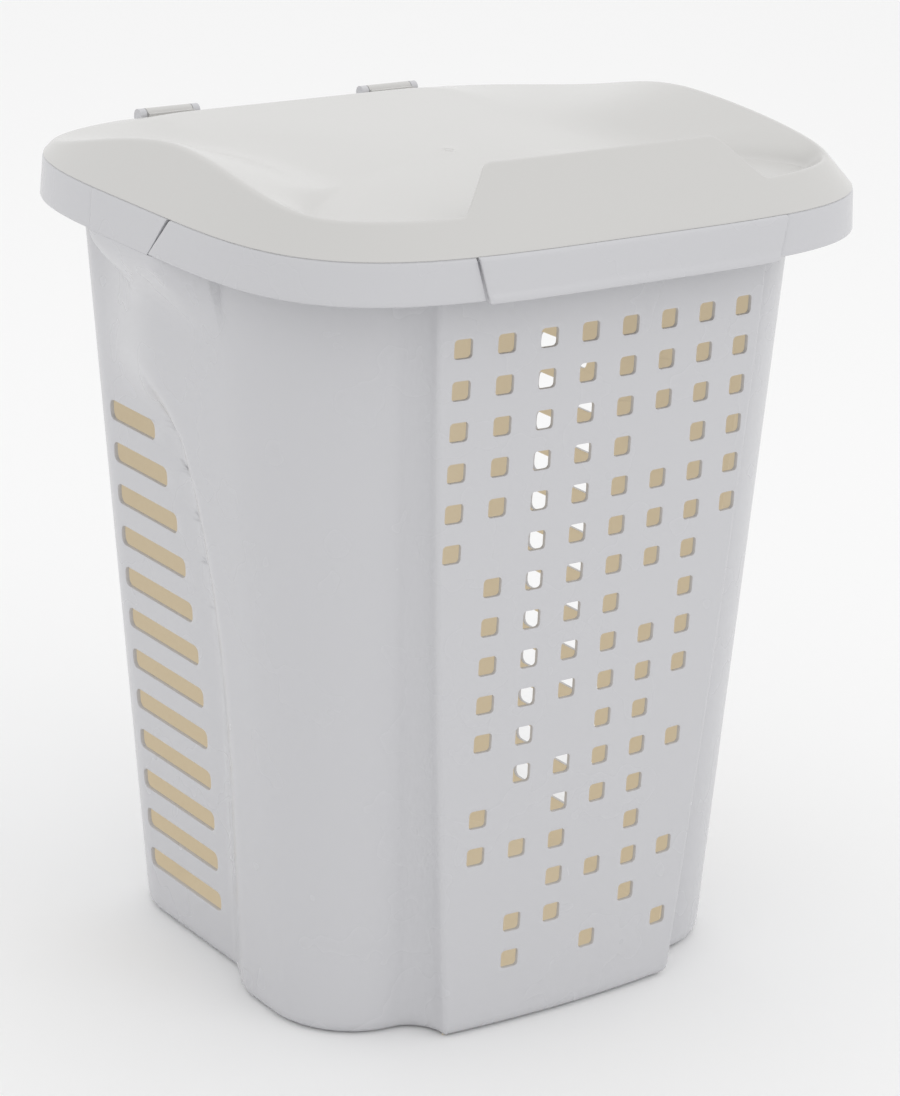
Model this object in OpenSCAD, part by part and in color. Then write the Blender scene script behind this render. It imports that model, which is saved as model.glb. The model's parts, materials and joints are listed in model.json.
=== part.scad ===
// Laundry hamper with a hinged lid: a drafted, perforated tub with an overhanging rim,
// a separate band at the front of the rim, and a dished lid that swings on two rear pins.
// X is across, Y is from front (-) to back (+), Z is up; the origin is on the floor, under the middle.

/* [Rim] */
// Width over the rim
rim_w = 456; // [400:1:540]
// Depth over the rim
rim_d = 394; // [350:1:460]
// Height of the rim's top face, where the lid closes
rim_z = 515; // [420:1:640]
// Height of the rim's skirt
skirt_h = 26; // [16:1:32]
// Wall of the skirt and of the flange
skirt_t = 2.6; // [2:0.1:4]
// Squareness of the rim's outline (2 is an ellipse)
rim_power = 4; // [3:0.1:6]

/* [Tub] */
// Wall thickness of the tub
wall_t = 2.6; // [2:0.1:4]
// Thickness of the tub's floor
floor_t = 3; // [2:0.1:6]
// Radius where the walls meet the floor
foot_r = 10; // [3:0.5:10]
// Distance from the rim's outline to the side wall, at the top
side_overhang = 23; // [16:1:32]
// Distance from the rim's outline to the front panel, at the top
front_overhang = 23; // [16:1:32]
// Distance from the rim's outline to the rear wall, at the top
rear_overhang = 24; // [18:1:32]
// Distance of the slotted side walls inside the rim's side, at the floor
side_in_low = 79; // [70:1:88]
// Distance of the slotted side walls inside the rim's side, at the top
side_in_high = 45; // [33:1:56]
// How far the front panel leans in from top to floor
front_lean = 11; // [5:1:20]
// How far the rear wall leans in from top to floor
rear_lean = 35; // [15:1:50]

/* [Front panel] */
// Half width of the front panel at the floor
panel_low = 90; // [85:1:100]
// Half width of the front panel at the top
panel_high = 124; // [115:1:130]
// How quickly the panel narrows towards the floor (1 is a straight taper)
panel_taper = 1.35; // [1:0.05:1.6]
// How far the panel's middle stands ahead of its edges
panel_bulge = 5; // [2:0.5:8]
// How far the corner columns stand behind the panel, at the floor
cove_low = 26; // [15:1:32]
// How far the corner columns stand behind the panel, at the top
cove_high = 9; // [4:1:16]
// Width of the cove between the panel and a corner column
cove_w = 15; // [8:1:20]

/* [Corner columns] */
// Distance of the column's side face from the middle, at the floor
column_low = 164; // [158:1:168]
// Corner radius of the column at the floor
column_r_low = 57; // [40:1:58]
// Corner radius of the column at the top
column_r_high = 104; // [80:1:110]
// Rear corner radius at the floor
rear_r_low = 50; // [36:1:60]
// Rear corner radius at the top
rear_r_high = 40; // [30:1:60]

/* [Front holes] */
// Pitch of the holes across the panel
hole_pitch_x = 30; // [26:0.5:31]
// Pitch of the hole rows
hole_pitch_z = 25.4; // [20:0.1:27]
// Side of a square hole
hole_size = 12.6; // [6:0.1:16]
// Flat taken off each corner of a hole
hole_corner = 2; // [1:0.1:3]
// Distance of the top row of holes below the rim's top face
hole_drop = 61; // [50:1:80]

/* [Side slots] */
// Number of slots in each side
slot_count = 12; // [1:1:13]
// Pitch of the slots
slot_pitch = 28; // [20:0.1:30]
// Height of a slot
slot_h = 14; // [8:0.5:18]
// Height of the lowest slot above the floor
slot_base = 41.5; // [32:0.5:60]
// Place of the slots' rear ends, behind the middle of the tub, at the floor
slot_rear = 93; // [80:1:96]
// How far the slots' front ends stand behind the arch, at the floor
slot_front = 52; // [44:1:64]
// How far the slots' ends shift to the rear for each unit of height
slot_rake = 0.075; // [0:0.005:0.09]

/* [Hinge] */
// Distance of each hinge from the middle
hinge_x = 87; // [70:1:110]
// Diameter of the hinge pins
pin_d = 4; // [3:0.1:5]
// Outside diameter of the hinge barrels
barrel_d = 9; // [8:0.1:12]
// Length of the lid's barrel between the bracket's ears
barrel_len = 34; // [20:1:50]
// Thickness of a bracket's ear
ear_t = 5; // [3:0.5:8]
// Play between a pin and the lid's barrel, on the diameter
pin_play = 0.16; // [0.04:0.02:0.2]
// Press fit between a pin and a bracket's ear, as a gap on the diameter
press_gap = 0.04; // [0:0.01:0.1]
// Gap between a barrel and an ear, at each end
end_gap = 0.5; // [0.3:0.1:1]

/* [Lid] */
// Wall thickness of the lid
lid_t = 2.6; // [2:0.1:4]
// Height of the lid's side shoulders above the rim
shoulder_h = 33; // [20:1:45]
// Height of the lid's edge beside the lift tab
scoop_h = 20; // [16:1:24]
// Height of the front lift tab
tab_h = 45; // [30:1:60]
// Half width of the tab's top edge
tab_top = 87; // [60:1:95]
// Half width of the tab's foot
tab_foot = 113; // [100:1:120]
// Height of the dish in the lid
dish_h = 9; // [6:1:14]
// Half width of the dish's flat floor
dish_half = 120; // [90:1:135]
// Rise of the dish towards its middle
dish_crown = 1.2; // [0.6:0.1:4]
// Width of the wall that drops from the lid's front edge into the dish
dish_wall = 18; // [10:1:24]
// Lean of the lid's walls: inward travel for each unit of height
lid_lean = 0.9; // [0.6:0.05:1]
// Gap between the lid and the rim when closed
lid_gap = 0.3; // [0.2:0.05:1]
// How far the lid's outline lies inside the rim's
lid_inset = 2; // [1:0.5:5]

/* [Fits] */
// Gap between the tub's wall and the rim's flange
seam_gap = 0.06; // [0.02:0.02:0.2]
// Gap around the front band, where it meets the tub
band_gap = 0.6; // [0.3:0.1:1]
// How far the front band stands proud of the rim
band_proud = 1.4; // [0:0.1:3]
// Half width of the front band at its top edge
band_half = 115; // [100:1:125]
// Width of the slits that end the side grips
slit_w = 3; // [2:0.5:6]
// Front end of a side grip, ahead of the middle of the tub
grip_front = 38; // [20:1:60]
// Rear end of a side grip, behind the middle of the tub
grip_rear = 62; // [50:1:80]

/* [Hidden] */

$fn = 48;
body_white = "#d3d4d8";
lid_white = "#dedfd9";
hole_rows = ["########", "########", "########", "#####.##", "########", "#.######", ".######.",
             ".####.#.", ".######.", ".######.", ".##.##..", "..#####.", ".#.###..", ".###.#..",
             "...####.", "..##.#..", "..#.#.#."];
rx = rim_w / 2;
side_low = rx - side_in_low;
side_high = rx - side_in_high;
ry = rim_d / 2;
skirt_z = rim_z - skirt_h;
top_z = rim_z - skirt_t;
lip_proud = 1.2;
band_ledge = 3;
hinge_z = rim_z + 3.5;
hinge_y = ry + band_proud + lip_proud - barrel_d / 2;
seat_z = hinge_z - barrel_d / 2 - 2;
lid_back = hinge_y - barrel_d / 2 - 1;
bracket_w = barrel_len + 2 * (end_gap + ear_t);
slit_lean = skirt_h * 0.8;
band_lean = skirt_h * 0.27;
flange_gap = 0.8;
grip_h = 60;
arch_low = 150;
arch_top = 400;
arch_half = 84;
arch_mid = 36;
crown_h = 56;
flank_w = 46;

// A 0-1 ramp with soft ends
function ramp(t) = let (c = min(1, max(0, t))) c * c * (3 - 2 * c);
function mix(a, b, t) = a + (b - a) * t;
function flip(pts) = [for (i = [len(pts) - 1:-1:0]) [-pts[i][0], pts[i][1]]];
function arc(cx, cy, r, a0, a1, n) = [for (i = [0:n]) let (a = a0 + (a1 - a0) * i / n)
    [cx + r * cos(a), cy + r * sin(a)]];

// Distance from the centre to the rim's outline in the direction of p, for an outline grown by g
function rim_reach(p, g) = let (a = rx + g, b = ry + g, d = p / norm(p))
    1 / pow(pow(abs(d[0]) / a, rim_power) + pow(abs(d[1]) / b, rim_power), 1 / rim_power);
function rim_at(p, g) = p / norm(p) * rim_reach(p, g);

// Front boundary of the side recess: an arch whose crown stands over the slots
function arch_y(z) = let (t = min(1, max(0, (z - arch_low) / (arch_top - arch_low))))
    arch_mid - arch_half * sqrt(1 - t * t);
// Side wall's distance from the middle: the column's face, tapered to the rear, sunk behind the arch
function side_x(y, z) = let (h = z / rim_z, inner = mix(side_low, side_high, h),
    column = mix(column_low, rx - side_overhang, h), face = mix(column, inner, ramp((y - 20) / 110)),
    sunk = ramp((y - arch_y(z)) / flank_w) * ramp((arch_top + 6 - z) / crown_h),
    wall = mix(face, inner, sunk)) wall + grip_flare(y, z, wall);
// The wall swells out under the rim to carry the side grips
function grip_flare(y, z, wall) = (rim_x(y) - skirt_t - flange_gap - wall)
    * pow(ramp((z - skirt_z + grip_h) / grip_h), 2)
    * ramp((y + grip_front - slit_lean) / 14) * ramp((grip_rear - y) / 12);
function rim_x(y) = rx * pow(1 - pow(min(1, abs(y) / ry), rim_power), 1 / rim_power);

// Half of the tub's plan at height z, from the middle of the front to the middle of the back
function half_plan(z) = let (h = z / rim_z,
    pw = mix(panel_low, panel_high, 1 - pow(1 - h, panel_taper)), cove = mix(cove_low, cove_high, h),
    yf = ry - front_overhang - front_lean * (1 - h), ye = yf - panel_bulge,
    cr = mix(column_r_low, column_r_high, h), rr = mix(rear_r_low, rear_r_high, h),
    yc = ye - cove, xo = side_x(-yc + cr, z), yr = ry - rear_overhang - rear_lean * (1 - h),
    xr = side_x(yr - rr, z), a0 = -acos(max(0.08, (pw + cove_w - xo + cr) / cr)),
    x1 = xo - cr + cr * cos(a0), y1 = -yc + cr + cr * sin(a0))
    concat(
        [for (i = [0:6]) let (x = (pw - 3) * i / 6) [x, -yf + panel_bulge * pow(x / pw, 2)]],
        arc(pw - 3, -ye + 3, 3, -60, -10, 1),
        [for (i = [1:3]) let (a = i * 22.5) [mix(pw, x1, 1 - cos(a)), mix(-ye + 3, y1, sin(a))]],
        arc(xo - cr, -yc + cr, cr, a0, 0, 7),
        [for (i = [1:11]) let (y = mix(-yc + cr, yr - rr, i / 12)) [side_x(y, z), y]],
        arc(xr - rr, yr - rr, rr, 0, 90, 6),
        [for (i = [1:3]) [(xr - rr) * (1 - i / 3), yr]]);
function plan(z) = let (h = half_plan(z), n = len(h))
    concat([for (i = [0:n - 1]) h[i]], flip([for (i = [1:n - 2]) h[i]]));
// A closed outline moved inward by t
function inset(pts, t) = let (n = len(pts)) [for (i = [0:n - 1])
    let (d = pts[(i + 1) % n] - pts[(i + n - 1) % n], u = d / norm(d)) pts[i] + [-u[1], u[0]] * t];
function lift(pts, z) = [for (p = pts) [p[0], p[1], z]];
function rim_ring(z, g) = lift([for (p = plan(top_z)) rim_at(p, g)], z);

function middle(ring) = [for (k = [0:2]) total(ring, k) / len(ring)];
function total(ring, k) = [for (i = 0, sum = ring[0][k]; i < len(ring); i = i + 1,
    sum = i < len(ring) ? sum + ring[i][k] : sum) sum][len(ring) - 1];
// A closed skin through rings of equal length, capped at both ends
module skin(rings) {
    n = len(rings[0]);
    last = (len(rings) - 1) * n;
    sides = [for (r = [0:len(rings) - 2], i = [0:n - 1]) let (a = r * n + i, b = r * n + (i + 1) % n)
        each [[a, a + n, b + n], [a, b + n, b]]];
    ends = [for (i = [0:n - 1]) let (b = (i + 1) % n, c = last + n)
        each [[i, b, c], [last + b, last + i, c + 1]]];
    polyhedron(concat([for (r = rings) each r], [middle(rings[0]), middle(rings[len(rings) - 1])]),
        concat(sides, ends), convexity = 10);
}

// A closed skin through rings that come back to the first
module hoop(rings) {
    n = len(rings[0]);
    m = len(rings);
    polyhedron([for (r = rings) each r],
        [for (r = [0:m - 1], i = [0:n - 1]) let (j = (i + 1) % n, a = r * n, b = (r + 1) % m * n)
            each [[a + i, b + i, b + j], [a + i, b + j, a + j]]], convexity = 10);
}

// A square hole with cut corners, through the front panel
module front_hole(x, z) {
    flat = hole_size - 2 * hole_corner;
    translate([x, -ry + 20, z]) hull() {
        cube([hole_size, 50, flat], center = true);
        cube([flat, 50, hole_size], center = true);
    }
}

// A round-ended slot through a side wall, from y0 to y1
module side_slot(side, y0, y1, z) {
    r = slot_h / 2;
    hull() for (y = [y0 + r, y1 - r])
        translate([side * (side_low + 20), y, z]) rotate([0, 90, 0])
            cylinder(r = r, h = 110, center = true, $fn = 12);
}

module holes() {
    for (j = [0:len(hole_rows) - 1], i = [0:7])
        if (hole_rows[j][i] == "#")
            front_hole((i - 3.5) * hole_pitch_x, rim_z - hole_drop - j * hole_pitch_z);
}

module slots() {
    for (side = [-1, 1], k = [0:slot_count - 1]) {
        z = slot_base + k * slot_pitch;
        front = arch_y(z) + slot_front + slot_rake * z;
        rear = slot_rear + slot_rake * z;
        if (rear - front > 2 * slot_h) side_slot(side, front, rear, z);
    }
}

// Tub: walls and floor in one skin, with the side walls swelled under the rim
module tub() {
    levels = [foot_r, 80, arch_low, 230, 310, arch_top, skirt_z - 60, skirt_z - 30, skirt_z,
              top_z - skirt_t];
    inside = [top_z, skirt_z - 30, skirt_z - 60, 310, arch_low, foot_r + floor_t];
    color(body_white) difference() {
        skin(concat(
            [lift(inset(plan(0), foot_r * 0.8), 0), lift(inset(plan(0), foot_r * 0.2), foot_r * 0.3)],
            [for (z = levels) lift(plan(z), z)],
            [lift(plan(top_z), rim_z), lift(inset(plan(top_z), wall_t), rim_z)],
            [for (z = inside) lift(inset(plan(z), wall_t), z)],
            [lift(inset(plan(0), wall_t + foot_r * 0.8), floor_t)]));
        holes();
        slots();
    }
}

// Rim: a flange round the tub's mouth with the overhanging skirt
module rim_collar() {
    wall = inset(plan(top_z), -seam_gap);
    color(body_white) difference() {
        hoop([lift(wall, top_z - skirt_t), rim_ring(top_z - skirt_t, -skirt_t - 0.5),
              rim_ring(skirt_z, -skirt_t), rim_ring(skirt_z, 0), rim_ring(rim_z - 2, -lid_inset / 2),
              rim_ring(rim_z, -lid_inset / 2 - 2), lift(wall, rim_z)]);
        band_seat();
        grip_slits();
        for (side = [-1, 1]) hinge_notch(side);
    }
}

// Room cut from the rim for the front band
module band_seat() {
    low = band_half - band_lean * 1.3;
    high = band_half + band_lean * 0.3;
    difference() {
        rotate([90, 0, 0]) linear_extrude(rim_d)
            polygon([[-low, skirt_z - skirt_h * 0.3], [low, skirt_z - skirt_h * 0.3],
                     [high, rim_z + skirt_h * 0.3], [-high, rim_z + skirt_h * 0.3]]);
        linear_extrude(rim_z * 2) polygon([for (p = plan(top_z)) rim_at(p, -skirt_t - band_ledge)]);
    }
}

// Narrow slits that part the side grips from the corner skirts
module grip_slits() {
    for (side = [-1, 1])
        translate([side * (rx - skirt_t / 2), 0, 0]) rotate([90, 0, 90])
            linear_extrude(skirt_t * 4, center = true)
                polygon([[-grip_front + slit_lean, skirt_z + 1], [-grip_front + slit_w / 2, rim_z + 1],
                         [-grip_front - slit_w / 2, rim_z + 1]]);
}

module hinge_notch(side) {
    translate([side * hinge_x - bracket_w / 2 - end_gap, hinge_y - barrel_d / 2 - end_gap, seat_z])
        cube([bracket_w + 2 * end_gap, 2 * barrel_d, 2 * barrel_d]);
}

// Front band: a length of rim with its own rolled lower lip
module front_rim_band() {
    stations = [for (i = [12:-1:-12]) i / 12];
    function face(x) = -ry * pow(1 - pow(abs(x) / rx, rim_power), 1 / rim_power);
    function section(t) = let (ax = t * (band_half - band_lean - band_gap), a = face(ax),
        bx = t * (band_half - band_gap), b = face(bx), p = band_proud, s = skirt_t,
        back = b + s + band_ledge - band_gap)
        [[bx, back, rim_z], [bx, back, rim_z - s], [bx, b + s, rim_z - s - 1.4],
         [ax, a + s - p, skirt_z + 2], [ax, a + s - p - 1, skirt_z - 1], [ax, a - p, skirt_z - 1.5],
         [ax, a - p - lip_proud, skirt_z], [ax, a - p - lip_proud, skirt_z + 2],
         [ax, a - p, skirt_z + 4.5], [bx, b - p, rim_z - 2], [bx, b - p + 1.2, rim_z]];
    color(body_white) skin([for (t = stations) section(t)]);
}

// Bracket on the tub's rim: two ears that hold a hinge pin
module hinge_bracket(side) {
    color(body_white) translate([side * hinge_x, hinge_y, hinge_z]) difference() {
        union() {
            for (e = [-1, 1]) translate([e * (bracket_w - ear_t) / 2, 0, 0]) {
                rotate([0, 90, 0]) cylinder(d = barrel_d, h = ear_t, center = true);
                translate([-ear_t / 2, -barrel_d / 2, seat_z - hinge_z])
                    cube([ear_t, barrel_d, hinge_z - seat_z]);
            }
            translate([-bracket_w / 2, -barrel_d / 2, seat_z - hinge_z]) cube([bracket_w, barrel_d, 1.5]);
        }
        rotate([0, 90, 0]) cylinder(d = pin_d + press_gap, h = bracket_w + 2, center = true);
    }
}

module hinge_pin(side) {
    color("#c8c9cc") translate([side * hinge_x, hinge_y, hinge_z]) rotate([0, 90, 0])
        cylinder(d = pin_d, h = bracket_w, center = true);
}

// Barrel on the lid, joined to its rear wall by a short web
module lid_knuckle(side) {
    color(lid_white) translate([side * hinge_x, hinge_y, hinge_z]) difference() {
        union() {
            rotate([0, 90, 0]) cylinder(d = barrel_d, h = barrel_len, center = true);
            translate([-barrel_len / 2, lid_back - 1.5 - hinge_y, -1.4])
                cube([barrel_len, hinge_y - lid_back + 1.5, 3.6]);
        }
        rotate([0, 90, 0]) cylinder(d = pin_d + pin_play, h = barrel_len + 2, center = true);
    }
}

// Height of the lid's edge above the rim, beside the outline's point p
function edge_h(p) = let (x = abs(p[0]), y = p[1],
    side = y < 0 ? mix(scoop_h, shoulder_h, ramp((y + ry * 0.86) / (ry * 0.86)))
                 : mix(shoulder_h, 4, ramp(y / (ry * 0.96))))
    y > 0 || x >= tab_foot ? side : mix(tab_h, scoop_h, max(0, (x - tab_top) / (tab_foot - tab_top)));
// A point on the front of the lid's outline, at x
function lid_front(x) = let (a = rx - lid_inset, b = ry - lid_inset)
    [x, -b * pow(1 - pow(x / a, rim_power), 1 / rim_power)];
// Directions round the lid, with the corners of the lift tab among them
function lid_dirs() = let (half = concat([for (i = [0:5]) lid_front(tab_top * i / 5)], [lid_front(tab_foot)],
        [for (i = [1:5]) [mix(tab_foot, rx, i / 6), -ry]], [for (i = [0:14]) [rx, mix(-ry, ry, i / 14)]],
        [for (i = [1:8]) [mix(rx, 0, i / 8), ry]]), n = len(half))
    concat(half, flip([for (i = [1:n - 2]) half[i]]));
lid_outline = [for (d = lid_dirs()) let (p = rim_at(d, -lid_inset)) [p[0], min(p[1], lid_back)]];
lid_edge = [for (p = lid_outline) edge_h(p)];
// Outward direction across the rim's outline at p
function rim_out(p) = let (n = [sign(p[0]) * pow(abs(p[0]) / rx, rim_power - 1) / rx,
    sign(p[1]) * pow(abs(p[1]) / ry, rim_power - 1) / ry]) n / norm(n);
// The lid's surface: s runs from the lid line (0) over the edge (1) to the dish (2) and its middle (3);
// the underside is lower by t, and by more under a tall edge
function lid_point(p, h, s, t) = let (z0 = rim_z + lid_gap, out = rim_out(p), e = p - out * h * lid_lean,
    under = t * (1 + 1.4 * max(0, h - 4) / (tab_h - 4)),
    wall = dish_wall / norm(e), slope = max(wall, 1 - dish_half / max(1, abs(e[0]))),
    fall = mix(wall, slope, ramp((p[1] + 150) / 70)))
    s <= 1 ? let (q = mix(p - out * t, e, s)) [q[0], q[1], z0 + (h - under) * s]
    : let (k = s < 2 ? fall * (s - 1) : mix(fall, 1, s - 2), q = e * (1 - k))
        [q[0], q[1], z0 + dish_h + (h - dish_h) * pow(max(0, 2 - s), 1.3)
            + dish_crown * max(0, s - 2) - mix(under, t, min(1, s - 1))];
function lid_ring(s, t) = [for (i = [0:len(lid_outline) - 1]) lid_point(lid_outline[i], lid_edge[i], s, t)];

module lid() {
    steps = [0, 0.5, 1, 1.1, 1.3, 1.55, 1.8, 2, 2.4, 2.8];
    n = len(steps);
    color(lid_white)
        skin(concat([for (i = [n - 1:-1:0]) lid_ring(steps[i], lid_t)],
            [for (s = steps) lid_ring(s, 0)]));
}

tub();
rim_collar();
front_rim_band();
hinge_bracket(-1);  // hinge_bracket_left
hinge_bracket(1);  // hinge_bracket_right
hinge_pin(-1);  // hinge_pin_left
hinge_pin(1);  // hinge_pin_right
lid();
lid_knuckle(-1);  // lid_knuckle_left
lid_knuckle(1);  // lid_knuckle_right
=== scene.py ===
import bmesh
import bpy
import json
import math
import numpy as np
from mathutils import Matrix, Vector

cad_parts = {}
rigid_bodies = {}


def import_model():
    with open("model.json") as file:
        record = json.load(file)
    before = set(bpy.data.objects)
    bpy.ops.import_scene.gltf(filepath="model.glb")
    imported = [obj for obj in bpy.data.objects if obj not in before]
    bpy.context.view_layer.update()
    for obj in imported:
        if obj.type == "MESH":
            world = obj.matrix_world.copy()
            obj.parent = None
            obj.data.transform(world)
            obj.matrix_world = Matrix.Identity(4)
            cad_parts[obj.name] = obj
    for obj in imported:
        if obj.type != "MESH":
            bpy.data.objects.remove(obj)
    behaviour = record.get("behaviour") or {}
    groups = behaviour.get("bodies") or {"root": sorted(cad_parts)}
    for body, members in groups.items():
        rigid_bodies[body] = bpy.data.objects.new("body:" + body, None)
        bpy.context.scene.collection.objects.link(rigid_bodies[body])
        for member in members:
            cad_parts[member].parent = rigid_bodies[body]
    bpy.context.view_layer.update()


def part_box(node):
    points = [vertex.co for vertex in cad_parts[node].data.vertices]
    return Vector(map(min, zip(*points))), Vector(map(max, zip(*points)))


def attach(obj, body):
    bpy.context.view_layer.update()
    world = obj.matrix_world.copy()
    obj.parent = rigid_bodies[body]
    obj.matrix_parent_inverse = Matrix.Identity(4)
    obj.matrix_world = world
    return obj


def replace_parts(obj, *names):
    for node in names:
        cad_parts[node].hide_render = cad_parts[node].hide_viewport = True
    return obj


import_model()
mm = 0.001

# Everything below is in millimetres until a mesh is made.
rim = dict(
    halfWidth=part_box("rim_collar")[1].x / mm,
    halfDepth=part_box("rim_collar")[1].y / mm,
    top=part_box("rim_collar")[1].z / mm,
    skirt=26.0,        # height of the overhanging skirt
    wall=2.6,          # thickness of every moulded wall
    power=4.0,         # squareness of the outline
    flare=1.6,         # how far the skirt leans out towards its lip
    round=2.0,         # radius along the rim's top edge
)
rim["lip"] = rim["top"] - rim["skirt"]
rim["aboveLip"] = rim["lip"] + 0.2


def smooth(t):
    c = np.clip(t, 0.0, 1.0)
    return c * c * (3 - 2 * c)


def mix(a, b, t):
    return a + (b - a) * t


def softRamp(t, r):
    # a straight 0-1 ramp whose two corners are rounded over a length r by parabolas
    low = (t + r) ** 2 / (4 * r)
    high = 1 - (1 - t + r) ** 2 / (4 * r)
    out = np.where(t < -r, 0.0, np.where(t < r, low, t))
    return np.where(t > 1 + r, 1.0, np.where(t > 1 - r, high, out))


def rimOutline(angle, grow=0.0):
    # superellipse |x/a|^n + |y/b|^n = 1, walked by angle, then moved out along its normal
    a, b, n = rim["halfWidth"], rim["halfDepth"], rim["power"]
    c, s = np.cos(angle), np.sin(angle)
    r = (np.abs(c / a) ** n + np.abs(s / b) ** n) ** (-1 / n)
    x, y = r * c, r * s
    nx = np.sign(x) * np.abs(x / a) ** (n - 1) / a
    ny = np.sign(y) * np.abs(y / b) ** (n - 1) / b
    length = np.hypot(nx, ny)
    return x + grow * nx / length, y + grow * ny / length, nx / length, ny / length


def shadeSmooth(mesh):
    mesh.polygons.foreach_set("use_smooth", [True] * len(mesh.polygons))


def meshFrom(name, points, quads, body):
    # points is an array of (x, y, z) in millimetres; quads is an array of four indices a row
    mesh = bpy.data.meshes.new(name)
    faces = [q[:3] if q[2] == q[3] else q for q in quads.tolist()]
    mesh.from_pydata((points * mm).tolist(), [], faces)
    mesh.validate()
    shadeSmooth(mesh)
    piece = bpy.data.objects.new(name, mesh)
    bpy.context.scene.collection.objects.link(piece)
    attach(piece, body)
    return piece


def gridQuads(rows, columns, offset=0, closed=False):
    # quads of a rows x columns grid of points, wound the same way over the whole grid
    j, i = np.meshgrid(np.arange(rows - 1), np.arange(columns if closed else columns - 1), indexing="ij")
    k = (i + 1) % columns
    quads = np.stack([j * columns + i, j * columns + k, (j + 1) * columns + k, (j + 1) * columns + i], -1)
    return quads.reshape(-1, 4) + offset


def mergeDoubles(piece, distance=0.02):
    bm = bmesh.new()
    bm.from_mesh(piece.data)
    bmesh.ops.remove_doubles(bm, verts=bm.verts, dist=distance * mm)
    bmesh.ops.recalc_face_normals(bm, faces=bm.faces)
    bm.to_mesh(piece.data)
    bm.free()
    shadeSmooth(piece.data)


def roundEdges(piece, width, angle=50):
    bevel = piece.modifiers.new("edges", "BEVEL")
    bevel.width = width * mm
    bevel.segments = 2
    bevel.limit_method = "ANGLE"
    bevel.angle_limit = math.radians(angle)


def thicken(piece, wall, edge):
    # gives a skin its wall, growing inwards, then rounds the cut edges
    solid = piece.modifiers.new("wall", "SOLIDIFY")
    solid.thickness = wall * mm
    solid.offset = -1
    solid.use_even_offset = False
    solid.use_quality_normals = True
    roundEdges(piece, edge)
    return piece


print("tub wall")
tub = dict(
    sideOverhang=23.0, frontOverhang=23.0, rearOverhang=24.0,
    sideLow=149.0, sideHigh=183.0, frontLean=11.0, rearLean=35.0,
    panelLow=89.0, panelHigh=124.0, panelTaper=1.35, panelBulge=5.0, panelEdge=3.4,
    coveLow=26.0, coveHigh=9.0, coveWidth=15.0,
    columnLow=164.0, columnRadiusLow=57.0, columnRadiusHigh=104.0,
    rearRadiusLow=50.0, rearRadiusHigh=40.0,
    archLow=150.0, archTop=400.0, archHalf=84.0, flank=46.0, archMiddle=36.0, crown=56.0,
    gripHeight=62.0, gripFront=-18.0, gripFade=55.0, gripRear=62.0, gripRearFade=12.0,
    slitTop=-38.0, slitBefore=24.0, slitFade=20.0,
    taperFrom=20.0, taperRun=110.0,      # where the column's face narrows to the slotted wall
    crestAbove=6.0,      # the recess fades out this far above archTop
    insideSkirt=4.8,     # how far the swelled wall stands inside the skirt, above the lip
    footRadius=9.0, footEven=16, floorLift=3.0,
)
holes = dict(
    pitchX=30.0, pitchZ=25.4, width=12.6, height=12.2, corner=2.4, drop=61.0, split=6,
    rows=["########", "########", "########", "#####.##", "########", "#.######", ".######.",
          ".####.#.", ".######.", ".######.", ".##.##..", "..#####.", ".#.###..", ".###.#..",
          "...####.", "..##.#..", "..#.#.#."],
)
slots = dict(count=12, pitch=28.0, height=13.6, base=41.5, front=52.0, rear=93.0, rake=0.075, margin=8.0,
             across=22, corner=4.6)


def archY(z):
    # front boundary of the side recess: a quarter ellipse standing on archLow and cresting at archTop
    t = np.clip((z - tub["archLow"]) / (tub["archTop"] - tub["archLow"]), 0, 1)
    return tub["archMiddle"] - tub["archHalf"] * np.sqrt(1 - t * t)


def shape(z):
    # the plan's sizes at height z, all straight blends from the floor to the rim
    h = z / rim["top"]
    half, deep = rim["halfWidth"], rim["halfDepth"]
    s = dict(panel=mix(tub["panelLow"], tub["panelHigh"], 1 - np.abs(1 - h) ** tub["panelTaper"]))
    s["cove"] = mix(tub["coveLow"], tub["coveHigh"], h)
    s["front"] = deep - tub["frontOverhang"] - tub["frontLean"] * (1 - h)
    s["edge"] = s["front"] - tub["panelBulge"]
    s["column"] = mix(tub["columnRadiusLow"], tub["columnRadiusHigh"], h)
    s["rearR"] = mix(tub["rearRadiusLow"], tub["rearRadiusHigh"], h)
    s["columnY"] = s["edge"] - s["cove"]
    s["outer"] = mix(tub["columnLow"], half - tub["sideOverhang"], h)
    s["inner"] = mix(tub["sideLow"], tub["sideHigh"], h)
    s["rear"] = deep - tub["rearOverhang"] - tub["rearLean"] * (1 - h)
    return s


def gripSwell(y, z):
    # 0-1: how far the wall has swelled out to the skirt's face at the side grips
    up = smooth((z - rim["lip"] + tub["gripHeight"]) / tub["gripHeight"]) ** 2
    below = smooth((y - tub["gripFront"] + tub["gripFade"]) / tub["gripFade"])
    behind = smooth((y - tub["slitTop"] + tub["slitBefore"]) / tub["slitFade"])
    ended = smooth((tub["gripRear"] - y) / tub["gripRearFade"])
    return up * np.where(z > rim["aboveLip"], behind, below) * ended


def skirtX(y):
    # half width of the rim's outline at depth y
    a, b, n = rim["halfWidth"], rim["halfDepth"], rim["power"]
    return a * (1 - np.clip(np.abs(y) / b, 0, 1) ** n) ** (1 / n)


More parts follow.
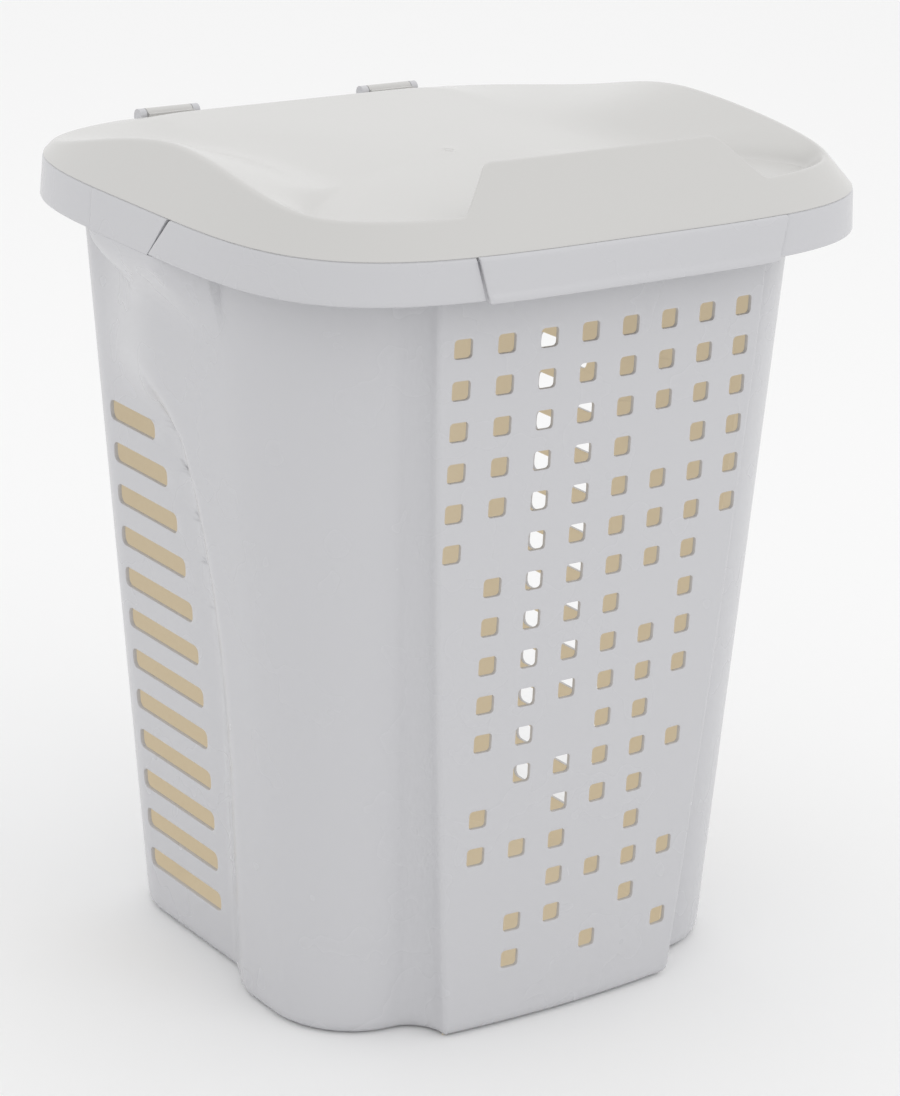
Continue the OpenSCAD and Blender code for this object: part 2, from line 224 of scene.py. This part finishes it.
def sideX(y, z):
    # the column's face tapers to the rear and sinks behind the arch to the slotted wall; then the rear corner
    s = shape(z)
    face = mix(s["outer"], s["inner"], smooth((y - tub["taperFrom"]) / tub["taperRun"]))
    below = smooth((tub["archTop"] + tub["crestAbove"] - z) / tub["crown"])
    sunk = smooth((y - archY(z)) / tub["flank"]) * below
    x = mix(face, s["inner"], sunk)
    past = np.clip(y - (s["rear"] - s["rearR"]), 0, None)
    x = x - s["rearR"] + np.sqrt(np.clip(s["rearR"] ** 2 - past ** 2, 0, None))
    # above the lip the swelled wall stays inside the skirt
    inside = np.where(z > rim["aboveLip"], tub["insideSkirt"], 0.0)
    return mix(x, skirtX(y) - faceLean(z) - inside, gripSwell(y, z))


def faceLean(z):
    # how far the skirt's face stands inside its lip at height z, with the top edge rounded
    t = np.clip((z - rim["lip"]) / rim["skirt"], 0, 1)
    top = np.clip((z - rim["top"] + rim["round"]) / rim["round"], 0, 1)
    return rim["flare"] * t + rim["round"] * (1 - np.sqrt(1 - top * top * 0.999))


def frontY(x, z):
    s = shape(z)
    return -s["front"] + tub["panelBulge"] * (x / s["panel"]) ** 2


def halfPlan(z):
    # columns of points round the right half of the tub at heights z (one height a column), front to back
    s = shape(z)
    edge = tub["panelEdge"]
    reach = s["panel"] - edge
    knots = [0 * z, 2 * holes["pitchX"] + 0 * z, np.minimum(3 * holes["pitchX"], reach - 3), reach]
    xs = [mix(knots[0], knots[1], t) for t in np.linspace(0, 1, 13)]
    xs += [mix(knots[1], knots[2], t) for t in np.linspace(0, 1, 7)[1:]]
    xs += [mix(knots[2], knots[3], t) for t in np.linspace(0, 1, 7)[1:]]
    columns = [(x, frontY(x, z)) for x in xs]
    ye = frontY(reach, z)
    for a in np.radians([-75, -55, -35, -15]):
        columns.append((reach + edge * np.cos(a), ye + edge + edge * np.sin(a)))
    cr = s["column"]
    a0 = -np.arccos(np.clip((s["panel"] + tub["coveWidth"] - s["outer"] + cr) / cr, 0.08, 1))
    x1 = s["outer"] - cr + cr * np.cos(a0)
    y1 = -s["columnY"] + cr + cr * np.sin(a0)
    x0, y0 = columns[-1]
    for a in np.radians(np.arange(10, 90, 10)):
        columns.append((mix(x0, x1, 1 - np.cos(a)), mix(y0, y1, np.sin(a))))
    for t in np.linspace(0, 1, 17):
        a = a0 * (1 - t)
        columns.append((s["outer"] - cr + cr * np.cos(a), -s["columnY"] + cr + cr * np.sin(a)))
    yTurn = -s["columnY"] + cr
    yFirst = tub["archMiddle"] - tub["archHalf"] + slots["front"] - slots["margin"]
    for t in np.linspace(0, 1, 27)[1:]:
        y = mix(yTurn, yFirst, t)
        columns.append((sideX(y, z), y))
    first = len(columns) - 1
    yLast = slots["rear"] + slots["rake"] * np.minimum(z, tub["archTop"]) + slots["margin"]
    for t in np.linspace(0, 1, slots["across"] + 1)[1:]:
        y = mix(yFirst, yLast, t)
        columns.append((sideX(y, z), y))
    rr = s["rearR"]
    xr = s["inner"]
    yr = s["rear"] - rr
    b0 = np.arcsin(np.clip((yLast - yr) / rr, 0, 1))
    for t in np.linspace(0, 1, 13)[1:]:
        a = mix(b0, math.pi / 2, t)
        columns.append((xr - rr + rr * np.cos(a), yr + rr * np.sin(a)))
    for t in np.linspace(0, 1, 17)[1:-1]:
        columns.append(((xr - rr) * (1 - t), s["rear"]))
    columns.append((0 * z, s["rear"]))
    return columns, first


def buildTubWall():
    split = holes["split"]
    frontTop = rim["top"] - holes["drop"] + holes["pitchZ"] / 2
    frontRows = frontTop - holes["pitchZ"] / split * np.arange(len(holes["rows"]) * split + 1)[::-1]
    slotSteps = np.arange(slots["count"] * split + 1)
    slotRows = slots["base"] - slots["pitch"] / 2 + slots["pitch"] / split * slotSteps
    spare = len(frontRows) - len(slotRows)
    sideRows = np.concatenate([slotRows, np.linspace(slotRows[-1], frontTop, spare + 1)[1:]])
    lowest = [tub["footRadius"], 14.0, 19.0, 24.0]
    upper = [frontTop + 7, frontTop + 14, rim["lip"] - 4, rim["lip"] - 1, rim["lip"], rim["lip"] + 0.6,
             rim["lip"] + 7, rim["lip"] + 14, rim["top"] - 6, rim["top"] - 3.5, rim["top"] - rim["round"],
             rim["top"] - 1.2, rim["top"] - 0.5, rim["top"]]
    frontZ = np.concatenate([lowest, frontRows, upper])
    sideZ = np.concatenate([lowest, sideRows, upper])
    n0 = len(lowest)
    # rows follow the holes at the front and the slots at the side; the columns between share them out
    probe, firstSlot = halfPlan(frontZ)
    count = len(probe)
    share = smooth((np.arange(count) - 26) / (firstSlot - 28))
    heights = mix(frontZ[None, :], sideZ[None, :], share[:, None])
    right = np.zeros((count, len(frontZ), 3))
    for i in range(count):
        columns, _ = halfPlan(heights[i])
        right[i, :, 0], right[i, :, 1] = columns[i]
        right[i, :, 2] = heights[i]
    left = right[1:-1][::-1] * [-1, 1, 1]
    wall = np.concatenate([right, left])                    # columns x rows x 3, once round
    around, rows = wall.shape[:2]
    points = [wall.reshape(-1, 3)]
    total = around * rows
    i, j = np.meshgrid(np.arange(around), np.arange(rows - 1), indexing="ij")
    k = (i + 1) % around
    quads = np.stack([i * rows + j, k * rows + j, k * rows + j + 1, i * rows + j + 1], -1)
    keep = np.ones(i.shape, bool)
    extra = []

    def punch(ring, target, surface, turns):
        # a cell with a hole: rings of quads from the cell's border to the hole's outline
        nonlocal total
        size = len(ring)
        start = wall[ring[:, 0], ring[:, 1]]
        uv = np.stack([start[:, 0] if surface is frontY else start[:, 1], start[:, 2]], -1)
        index = ring[:, 0] * rows + ring[:, 1]
        for step in np.linspace(0, 1, turns + 1)[1:]:
            at = mix(uv, target, step)
            if surface is frontY:
                new = np.stack([at[:, 0], frontY(at[:, 0], at[:, 1]), at[:, 1]], -1)
            else:
                new = np.stack([side * sideX(at[:, 0], at[:, 1]), at[:, 0], at[:, 1]], -1)
            points.append(new)
            now = total + np.arange(size)
            total += size
            extra.append(np.stack([index, np.roll(index, -1), np.roll(now, -1), now], -1))
            index = now

    def cellRing(i0, i1, j0, j1):
        bottom = [(i, j0) for i in range(i0, i1)]
        up = [(i1, j) for j in range(j0, j1)]
        top = [(i, j1) for i in range(i1, i0, -1)]
        down = [(i0, j) for j in range(j1, j0, -1)]
        return np.array(bottom + up + top + down)

    def roundedBox(w, h, r, across, tall):
        # a rectangle with arc corners and as many points as its cell's border, begun at a corner's middle
        x, y = w / 2 - r, h / 2 - r
        arcs = []
        for cx, cy, start in ((-x, -y, 180), (x, -y, 270), (x, y, 0), (-x, y, 90)):
            a = np.radians(start + np.linspace(0, 90, 5))
            arcs.append(np.stack([cx + r * np.cos(a), cy + r * np.sin(a)], -1))
        outline = []
        for k, many in enumerate((across, tall, across, tall)):
            here, there = arcs[k], arcs[(k + 1) % 4]
            t = np.linspace(0, 1, many - 3)[1:-1, None]
            outline += [here[2:], mix(here[-1], there[0], t), there[:2]]
        return np.concatenate(outline)

    # square holes in the front panel; column 0 is the middle, and the panel spans both sides of it
    for r, row in enumerate(holes["rows"]):
        z = rim["top"] - holes["drop"] - r * holes["pitchZ"]
        j1 = n0 + (len(holes["rows"]) - r) * split
        for c, mark in enumerate(row):
            if mark != "#":
                continue
            i0 = (c - 4) * split
            cell = np.arange(i0, i0 + split) % around
            keep[np.ix_(cell, np.arange(j1 - split, j1))] = False
            ring = cellRing(i0, i0 + split, j1 - split, j1)
            ring[:, 0] %= around
            outline = roundedBox(holes["width"], holes["height"], holes["corner"], split, split)
            punch(ring, outline + [(c - 3.5) * holes["pitchX"], z], frontY, 3)
    # slots with rounded corners in both sides
    for side in (1, -1):
        for k in range(slots["count"]):
            z = slots["base"] + k * slots["pitch"]
            j0 = n0 + k * split
            i0 = firstSlot if side > 0 else around - firstSlot - slots["across"]
            keep[i0:i0 + slots["across"], j0:j0 + split] = False
            low = float(archY(np.array(z))) + slots["front"] + slots["rake"] * z
            high = slots["rear"] + slots["rake"] * z
            middle, length = (low + high) / 2, high - low
            ring = cellRing(i0, i0 + slots["across"], j0, j0 + split)
            outline = roundedBox(length, slots["height"], slots["corner"], slots["across"], split)
            outline = outline * [side, 1] + [middle, z]      # the left side is walked backwards
            punch(ring, outline, sideX, 4)
    wallQuads = quads[keep]
    # foot: the wall turns in over a small radius, then the floor runs to the middle
    foot = []
    lowRing = wall[:, 0]
    ahead = np.roll(lowRing, -1, 0) - np.roll(lowRing, 1, 0)
    normal = np.stack([ahead[:, 1], -ahead[:, 0], 0 * ahead[:, 0]], -1)
    normal /= np.linalg.norm(normal, axis=1)[:, None]
    for _ in range(tub["footEven"]):
        # evened out round the ring, so that the foot doesn't fold at tight corners
        normal = (np.roll(normal, 1, 0) + 2 * normal + np.roll(normal, -1, 0)) / 4
    normal /= np.linalg.norm(normal, axis=1)[:, None]
    base = lowRing * [1, 1, 0]
    radius = tub["footRadius"]
    lifted = tub["floorLift"]
    for a in np.radians([22, 45, 68, 90]):
        foot.append(base - normal * radius * (1 - np.cos(a)) + [0, 0, radius * (1 - np.sin(a))])
    inner = base - normal * radius
    # the floor stands on a flat ring and is lifted inside it
    for scale, lift in ((0.97, 0), (0.9, 0), (0.88, 2.2), (0.86, lifted), (0.6, lifted), (0.3, lifted),
                        (0.02, lifted)):
        foot.append(inner * [scale, scale, 1] + [0, 0, lift])
    ringBefore = np.arange(around) * rows
    for ringPoints in foot:
        points.append(ringPoints)
        now = total + np.arange(around)
        total += around
        extra.append(np.stack([now, np.roll(now, -1), np.roll(ringBefore, -1), ringBefore], -1))
        ringBefore = now
    points.append(np.array([[0, 0, lifted]]))
    extra.append(np.stack([np.full(around, total), np.roll(ringBefore, -1), ringBefore, ringBefore], -1))
    allQuads = np.concatenate([wallQuads.reshape(-1, 4)] + extra)
    piece = meshFrom("tubWall", np.concatenate(points), allQuads, "tub_body")
    mergeDoubles(piece)
    return thicken(piece, rim["wall"], 0.8)


tubWall = buildTubWall()
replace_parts(tubWall, "tub")


def wallReach(angle):
    # distance from the middle to the tub's wall at its mouth, in each direction
    columns, _ = halfPlan(np.array([rim["top"]]))
    xy = np.array([[float(np.squeeze(x)), float(np.squeeze(y))] for x, y in columns])
    turn = np.arctan2(xy[:, 1], xy[:, 0])
    folded = np.where(np.cos(angle) < 0, math.pi - angle, angle)
    folded = np.arctan2(np.sin(folded), np.cos(folded))
    return np.interp(folded, turn, np.hypot(xy[:, 0], xy[:, 1]))


def sweptPiece(name, points, body, bevel=0.5):
    # points is stations x profile x 3: a closed profile carried along, with a flat face at each end
    stations, count = points.shape[:2]
    quads = gridQuads(stations, count, closed=True)
    piece = meshFrom(name, points.reshape(-1, 3), quads, body)
    bm = bmesh.new()
    bm.from_mesh(piece.data)
    bm.verts.ensure_lookup_table()
    for first in (0, (stations - 1) * count):
        bm.faces.new([bm.verts[first + k] for k in range(count)])
    bmesh.ops.recalc_face_normals(bm, faces=bm.faces)
    bm.to_mesh(piece.data)
    bm.free()
    shadeSmooth(piece.data)
    roundEdges(piece, bevel)
    return piece


print("rim")
skirt = dict(
    frontSlit=115.7,     # half width of the gap for the front band, at the top
    frontLean=7.0,       # how much narrower the gap is at the lip
    sideSlit=-41.0,      # rear end of a corner skirt, at the top
    sideLean=22.5,       # how much further back it reaches at the lip
    slitWide=3.4,        # width of the slit behind it, at the top
    rearStart=50.0,      # where the skirt begins again behind the grip
    notchHalf=23.2, notchY=190.2, notchDeep=3.4, hingeX=87.0, ledge=5.6,
)


def angleAtX(x):
    y = -rim["halfDepth"] * (1 - np.abs(x / rim["halfWidth"]) ** rim["power"]) ** (1 / rim["power"])
    return np.arctan2(y, x)


def angleAtY(y):
    return np.arctan2(y, skirtX(y))


def rimProfile(full, ledge):
    # (outward distance from the outline, height) round the section, from inside the rim over its face
    top, lip, wall, lean = rim["top"], rim["lip"], rim["wall"], rim["flare"]
    if ledge:
        return np.array([[-ledge - 1, top], [-ledge - 0.3, top - 0.3], [-ledge, top - 1], [-ledge, top - wall]])
    zs = np.array([top, top - 0.15, top - 0.6, top - 1.2, top - 2, top - 6, lip + 4, lip + 1.3])
    face = np.stack([-faceLean(zs), zs], -1)
    if not full:
        # beside a grip the face runs straight down to the swelled wall
        ends = [[-0.02, lip], [-wall, lip], [-wall - lean, top - 4.6], [-wall - lean - 2, top - wall]]
        return np.concatenate([[[-9.0, top], [-8.7, top]], face, ends])
    under = [[-0.4, lip + 0.4], [-1.3, lip], [-2.2, lip + 0.4], [-wall, lip + 1.3],
             [-wall - lean, top - 4.6], [-wall - lean - 0.6, top - 3.2], [-wall - lean - 2, top - wall]]
    return np.concatenate([[[-9.0, top], [-8.7, top]], face, under])


def rimSweep(name, start, end, stations, full=True, ledge=0.0, mirror=False, notched=False):
    # start and end give the angle at which each height of the section begins and ends
    profile = rimProfile(full, ledge)
    grow, z = profile[:, 0], profile[:, 1]
    first, last = start(z), end(z)
    t = np.linspace(0, 1, stations)[:, None]
    angle = mix(first[None, :], last[None, :], t)
    if notched:
        # stations gather where the notches begin and end
        turn = angle[:, 0]
        marks = [math.pi / 2 + s * math.atan2(skirt["hingeX"] + e * skirt["notchHalf"] + d, skirt["notchY"])
                 for s in (-1, 1) for e in (-1, 1) for d in (-0.05, 0.05)]
        angle = np.sort(np.concatenate([turn, marks]))[:, None] * np.ones(len(z))
    x, y, _, _ = rimOutline(angle, grow[None, :] * np.ones_like(angle))
    height = z[None, :] * np.ones_like(angle)
    if notched:
        inNotch = (np.abs(np.abs(x) - skirt["hingeX"]) < skirt["notchHalf"]) & (y > skirt["notchY"] - 1.8)
        height = np.where(inNotch, np.minimum(height, rim["top"] - skirt["notchDeep"]), height)
    points = np.stack([x, y, height], -1)
    turn = angle[:, 0]
    outer = np.hypot(points[:, -1, 0], points[:, -1, 1])
    reach = np.minimum(wallReach(turn) - 1.6, outer - 1.5)
    inner = [(reach, rim["top"] - rim["wall"]), (reach, rim["top"] - 0.8), (reach + 0.8, rim["top"])]
    inside = np.stack([np.stack([r * np.cos(turn), r * np.sin(turn), 0 * r + h], -1) for r, h in inner], 1)
    points = np.concatenate([points, inside], 1)
    if mirror:
        points = points * [-1, 1, 1]
    return sweptPiece(name, points, "tub_body")


def lowering(z):
    return (rim["top"] - z) / rim["skirt"]


collar = []
for word, mirror in (("Right", False), ("Left", True)):
    collar.append(rimSweep(
        "rimCorner" + word, lambda z: angleAtX(skirt["frontSlit"] - skirt["frontLean"] * lowering(z)),
        lambda z: angleAtY(skirt["sideSlit"] + skirt["sideLean"] * lowering(z)), 60, mirror=mirror))
    collar.append(rimSweep(
        "rimGrip" + word,
        lambda z: angleAtY(skirt["sideSlit"] + skirt["slitWide"] + (skirt["sideLean"] - 3) * lowering(z)),
        lambda z: angleAtY(skirt["rearStart"] + 0 * z), 40, full=False, mirror=mirror))
collar.append(rimSweep(
    "rimRear", lambda z: angleAtY(skirt["rearStart"] + 0 * z),
    lambda z: math.pi - angleAtY(skirt["rearStart"] + 0 * z), 160, notched=True))
collar.append(rimSweep(
    "rimFront", lambda z: angleAtX(-skirt["frontSlit"] + 0 * z), lambda z: angleAtX(skirt["frontSlit"] + 0 * z),
    40, full=False, ledge=skirt["ledge"]))
for piece in collar:
    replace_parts(piece, "rim_collar")

print("front band")
band = dict(half=115.0, lean=7.0, gap=0.6)


def buildBand():
    top, lip = rim["top"], rim["lip"]
    profile = np.array([
        [-5.0, top], [-1.6, top], [-0.4, top - 0.25], [0.3, top - 0.9], [0.6, top - 2.0], [0.8, top - 5],
        [1.2, lip + 12], [1.4, lip + 7], [1.55, lip + 5], [1.9, lip + 3.6], [2.35, lip + 2.4], [2.6, lip + 0.9],
        [2.5, lip - 0.4], [2.0, lip - 1.3], [1.2, lip - 1.5], [0.2, lip - 1.3], [-0.4, lip - 0.4],
        [-0.9, lip + 2], [-1.6, top - 5], [-2.2, top - 3.2], [-3.4, top - 2.6], [-5.0, top - 2.6]])
    grow, z = profile[:, 0], profile[:, 1]
    t = np.linspace(-1, 1, 61)[:, None]
    half = band["half"] - band["gap"] - band["lean"] * lowering(z)
    angle = angleAtX(t * half[None, :])
    x, y, _, _ = rimOutline(angle, grow[None, :] * np.ones_like(angle))
    points = np.stack([x, y, z[None, :] * np.ones_like(x)], -1)
    return sweptPiece("frontBand", points, "tub_body", 0.6)


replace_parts(buildBand(), "front_rim_band")

print("lid")
lid = dict(
    foot=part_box("lid")[0].z / mm,
    back=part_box("lid")[1].y / mm,
    inset=2.0, lean=0.9, wall=2.6,
    shoulder=33.0, scoop=20.0, tab=45.0, tabTop=87.0, tabFoot=113.0, tabSoft=0.16,
    dish=9.0, crown=1.2, dishHalf=120.0, frontWall=11.0, tabWall=19.0, rearWall=14.0, bead=4.0,
    mark=3.0,
)


def buildLid():
    # directions round the lid, close together where the lift tab rises and at the rear corners
    xs = np.concatenate([np.linspace(0, 80, 14)[:-1], np.linspace(80, 120, 26)[:-1], np.linspace(120, 160, 10)])
    ahead = angleAtX(xs)
    turn = np.concatenate([ahead, np.linspace(ahead[-1], math.pi / 2, 110)[1:]])
    angle = np.concatenate([turn, math.pi - turn[1:-1][::-1]])
    px, py, nx, ny = rimOutline(angle, -lid["inset"])
    flat = py > lid["back"]
    py = np.minimum(py, lid["back"])
    nx, ny = np.where(flat, 0, nx), np.where(flat, 1, ny)
    p, n = np.stack([px, py], -1), np.stack([nx, ny], -1)
    # height of the edge above the lid line: scoops, shoulders, a low rear, and the lift tab
    deep = rim["halfDepth"]
    side = np.where(py < 0, mix(lid["scoop"], lid["shoulder"], smooth((py + 0.86 * deep) / (0.86 * deep))),
                    mix(lid["shoulder"], 4.0, smooth(py / (0.96 * deep))))
    raised = softRamp((lid["tabFoot"] - np.abs(px)) / (lid["tabFoot"] - lid["tabTop"]), lid["tabSoft"])
    raised = np.where(py < 0, raised, 0)
    h = mix(side, lid["tab"], raised)
    e = p - n * (h * lid["lean"])[:, None]
    # the foot of the inner wall, on the same ray from the middle as the edge: near the edge at the front and
    # the rear, and on the dish's side crease between, with the two joined softly
    near = mix(mix(lid["frontWall"], lid["rearWall"], smooth(py / 100)), lid["tabWall"], raised)
    reach = np.hypot(e[:, 0], e[:, 1])
    ray = e / reach[:, None]
    nearReach = reach - near / (ray * n).sum(1)
    sideReach = lid["dishHalf"] / np.maximum(np.abs(ray[:, 0]), 0.3)
    joined = (nearReach ** -10 + sideReach ** -10) ** -0.1
    foot = ray * mix(nearReach, np.minimum(joined, nearReach), smooth((py + 150) / 70))[:, None]
    run = np.hypot(foot[:, 0] - e[:, 0], foot[:, 1] - e[:, 1])
    slant = np.hypot(run, h - lid["dish"])
    edge = np.concatenate([e, h[:, None]], 1)
    out = np.concatenate([p - e, -h[:, None]], 1)
    out /= np.linalg.norm(out, axis=1)[:, None]
    inn = np.concatenate([(foot - e), (lid["dish"] - h)[:, None]], 1) / slant[:, None]
    bead = np.minimum(lid["bead"], slant * 0.35)
    bead = np.minimum(bead, np.hypot(h, h * lid["lean"]) * 0.6)[:, None]
    rows = []
    low = np.concatenate([p, 0 * h[:, None]], 1)
    start, stop = edge + out * bead, edge + inn * bead
    for t in (0, 0.03, 0.15, 0.4, 0.7, 0.9):
        rows.append(mix(low, start, t))
    for t in np.linspace(0, 1, 9):
        # a parabola that leaves the wall and joins the inner face, tangent to both
        rows.append(start * (1 - t) ** 2 + edge * 2 * t * (1 - t) + stop * t * t)
    t0 = bead[:, 0] / slant
    soft = 0.22
    for k in np.linspace(0, 1, 21)[1:]:
        # a straight drop whose foot is rounded by a parabola
        t = mix(t0, 1 + soft, k)
        rest = np.where(t < 1 - soft, 1 - t, np.clip(1 + soft - t, 0, None) ** 2 / (4 * soft))
        xy = mix(e, foot, t[:, None])
        rows.append(np.concatenate([xy, (lid["dish"] + (h - lid["dish"]) * rest)[:, None]], 1))
    last = rows[-1][:, :2]
    unit = last / np.linalg.norm(last, axis=1)[:, None]
    for k in (0.12, 0.28, 0.45, 0.62, 0.78):
        rise = lid["dish"] + lid["crown"] * k * k * (3 - 2 * k)
        rows.append(np.concatenate([mix(last, unit * 30, k), 0 * h[:, None] + rise], 1))
    for r in (30, 18, 12, 8, 5.5, 4.4, 3.8, 3.4, 3.0, 2.6, 2.2, 1.6, 0.8, 0.4):
        # the dish's middle: a shallow ring left by the mould, in a faint swell
        swell = 0.35 * math.exp(-(r / 12) ** 2)
        groove = 0.45 * math.exp(-((r - lid["mark"]) / 0.6) ** 2)
        z = lid["dish"] + lid["crown"] + swell - groove
        rows.append(np.concatenate([unit * r, 0 * h[:, None] + z], 1))
    points = np.stack(rows) + [0, 0, lid["foot"]]
    count, around = points.shape[:2]
    index = (count - 1) * around + np.arange(around)
    fan = np.stack([index, np.roll(index, -1), 0 * index + count * around, 0 * index + count * around], -1)
    points = np.concatenate([points.reshape(-1, 3), [points[-1].mean(0)]])
    piece = meshFrom("lidShell", points, np.concatenate([gridQuads(count, around, closed=True), fan]),
                     "lid_body")
    return thicken(piece, lid["wall"], 0.6)


lidShell = buildLid()
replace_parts(lidShell, "lid")

print("materials")


def linear(code):
    # a colour written as #rrggbb in linear light
    part = [int(code[k:k + 2], 16) / 255 for k in (1, 3, 5)]
    return [c / 12.92 if c <= 0.04045 else ((c + 0.055) / 1.055) ** 2.4 for c in part] + [1.0]


def node(tree, kind, **values):
    # adds a node and sets its settings, or its inputs when the name is an input's
    made = tree.nodes.new(kind)
    for name, value in values.items():
        if hasattr(made, name):
            setattr(made, name, value)
        else:
            made.inputs[name.replace("_", " ")].default_value = value
    return made


def moulded(name, colour, rough, grain, depth, patch, paintedGlow=None):
    # moulded plastic: a plain colour with faint uneven gloss and a fine grain; the optional emission colour and
    # strength are a painted glow, light painted onto the surface
    material = bpy.data.materials.new(name)
    material.use_nodes = True
    tree = material.node_tree
    shader = tree.nodes["Principled BSDF"]
    shader.inputs["Base Color"].default_value = linear(colour)
    shader.inputs["IOR"].default_value = 1.49
    place = node(tree, "ShaderNodeTexCoord")
    patches = node(tree, "ShaderNodeTexNoise", Scale=1 / (patch * mm), Detail=2.0, Roughness=0.5)
    spread = 0.01
    gloss = node(tree, "ShaderNodeMapRange", From_Min=0.3, From_Max=0.7,
                 To_Min=rough - spread, To_Max=rough + spread)
    fine = node(tree, "ShaderNodeTexNoise", Scale=1 / (grain * mm), Detail=1.0, Roughness=0.5)
    bump = node(tree, "ShaderNodeBump", Strength=0.015, Distance=depth * mm)
    join = tree.links.new
    join(place.outputs["Object"], patches.inputs["Vector"])
    join(place.outputs["Object"], fine.inputs["Vector"])
    join(patches.outputs[0], gloss.inputs["Value"])
    join(gloss.outputs["Result"], shader.inputs["Roughness"])
    join(fine.outputs[0], bump.inputs["Height"])
    join(bump.outputs["Normal"], shader.inputs["Normal"])
    if paintedGlow:
        shader.inputs["Emission Color"].default_value = linear(paintedGlow[0])
        shader.inputs["Emission Strength"].default_value = paintedGlow[1]
    return material


# polypropylene, injection moulded in a polished tool: cool white, soft gloss
bodyWhite = moulded("whitePolypropylene", "#c6c6c9", 0.27, 0.8, 0.005, 45)
# the inside of the same moulding: painted shade, a darker warm copy of the white, plus a painted glow from its
# emission, standing in for warm light inside the tub
bodyInsidePaintedGlow = moulded("whitePolypropyleneInsidePaintedShadeAndGlow", "#b7b0a0", 0.5, 0.8, 0.005, 45, ("#b6ab97", 0.60))
# polypropylene of the lid, injection moulded, a slightly warmer white
lidWhite = moulded("warmWhitePolypropylene", "#c8c7c5", 0.24, 0.8, 0.005, 60)
# nylon pins, moulded, satin
pinNylon = moulded("nylon", "#c8c9cc", 0.45, 0.5, 0.02, 20)

for piece in list(bpy.context.scene.objects):
    if piece.type != "MESH":
        continue
    name = piece.name
    paint = lidWhite if name.startswith("lid") else pinNylon if name.startswith("hinge_pin") else bodyWhite
    piece.data.materials.clear()
    piece.data.materials.append(paint)
    if name.startswith(("hinge_", "lid_knuckle")):
        roundEdges(piece, 0.4, 40)
# the tub's inner face gets the copy with painted shade and painted glow
tubWall.data.materials.append(bodyInsidePaintedGlow)
tubWall.modifiers["wall"].material_offset = 1

print("camera")
cameraView = dict(azimuth=-36.056, elevation=19.345, roll=2.4168, lens=112.67,
                  place=(-1.227867, -1.706106, 1.000677))
camera = bpy.data.cameras.new("camera")
camera.lens = cameraView["lens"]
camera.sensor_fit = "AUTO"
camera.sensor_width = 36.0
cameraObject = bpy.data.objects.new("camera", camera)
bpy.context.scene.collection.objects.link(cameraObject)
az, el, roll = (math.radians(cameraView[k]) for k in ("azimuth", "elevation", "roll"))
back = Vector((math.sin(az) * math.cos(el), -math.cos(az) * math.cos(el), math.sin(el)))
right = Vector((math.cos(az), math.sin(az), 0))
up = back.cross(right)
rightTurned = right * math.cos(roll) + up * math.sin(roll)
upTurned = up * math.cos(roll) - right * math.sin(roll)
place = Vector(cameraView["place"])
turned = [[rightTurned[k], upTurned[k], back[k], place[k]] for k in range(3)] + [[0, 0, 0, 1]]
cameraObject.matrix_world = Matrix(turned)
bpy.context.scene.camera = cameraObject

print("floor and light")
floorMesh = bpy.data.meshes.new("floor")
far = 6.0      # metres from the middle to the floor's edge
floorMesh.from_pydata([(-far, -far, 0), (far, -far, 0), (far, far, 0), (-far, far, 0)], [], [(0, 1, 2, 3)])
floor = bpy.data.objects.new("floor", floorMesh)
bpy.context.scene.collection.objects.link(floor)
# a plain pale studio floor, painted board
floorPaint = bpy.data.materials.new("paintedBoard")
floorPaint.use_nodes = True
floorShader = floorPaint.node_tree.nodes["Principled BSDF"]
floorShader.inputs["Base Color"].default_value = linear("#f4f4f4")
floorShader.inputs["Roughness"].default_value = 0.8
floorMesh.materials.append(floorPaint)

world = bpy.data.worlds.new("studio")
bpy.context.scene.world = world
world.use_nodes = True
world.node_tree.nodes["Background"].inputs[0].default_value = (1, 1, 1, 1)
world.node_tree.nodes["Background"].inputs[1].default_value = 1.0
bpy.context.scene.view_settings.view_transform = "Standard"


def softbox(name, place, aim, width, height, power):
    lamp = bpy.data.lights.new(name, "AREA")
    lamp.shape = "RECTANGLE"
    lamp.size, lamp.size_y = width, height
    lamp.energy = power
    lampObject = bpy.data.objects.new(name, lamp)
    bpy.context.scene.collection.objects.link(lampObject)
    away = (Vector(place) - Vector(aim)).normalized()
    lampObject.matrix_world = Matrix.Translation(place) @ away.to_track_quat("Z", "Y").to_matrix().to_4x4()


softbox("frontSoftbox", (0.9, -2.2, 1.6), (0, 0, 0.3), 1.4, 1.8, 4)
softbox("topSoftbox", (0.2, 0.3, 2.4), (0, 0, 0.4), 1.8, 1.8, 3)
